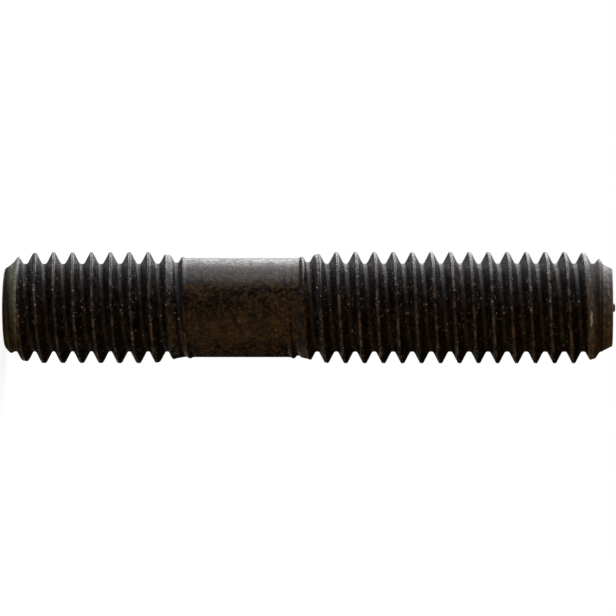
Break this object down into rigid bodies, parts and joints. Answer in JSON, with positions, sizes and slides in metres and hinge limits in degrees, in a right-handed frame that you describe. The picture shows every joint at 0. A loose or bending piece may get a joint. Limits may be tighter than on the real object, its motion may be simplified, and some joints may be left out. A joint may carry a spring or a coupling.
{
  "type": "double-ended stud",
  "caption": "Steel stud with a coarse right-hand thread on each end, one short and one long, and a plain shank between, for holding a nut over a tapped hole.",
  "frame": {"origin": "centre of the short thread's end face, which the stud stands on", "axes": "+Z along the stud's axis towards the long thread's end; the short thread's groove leaves full depth, next to the shank, on the +Y side"},
  "size_m": [0.0094, 0.0094, 0.051],
  "materials": {
    "black_oxide_steel": "black oxide, satin and slightly oily"
  },
  "bodies": {
    "root": {"double_ended_stud": "black_oxide_steel"}
  },
  "joints": []
}
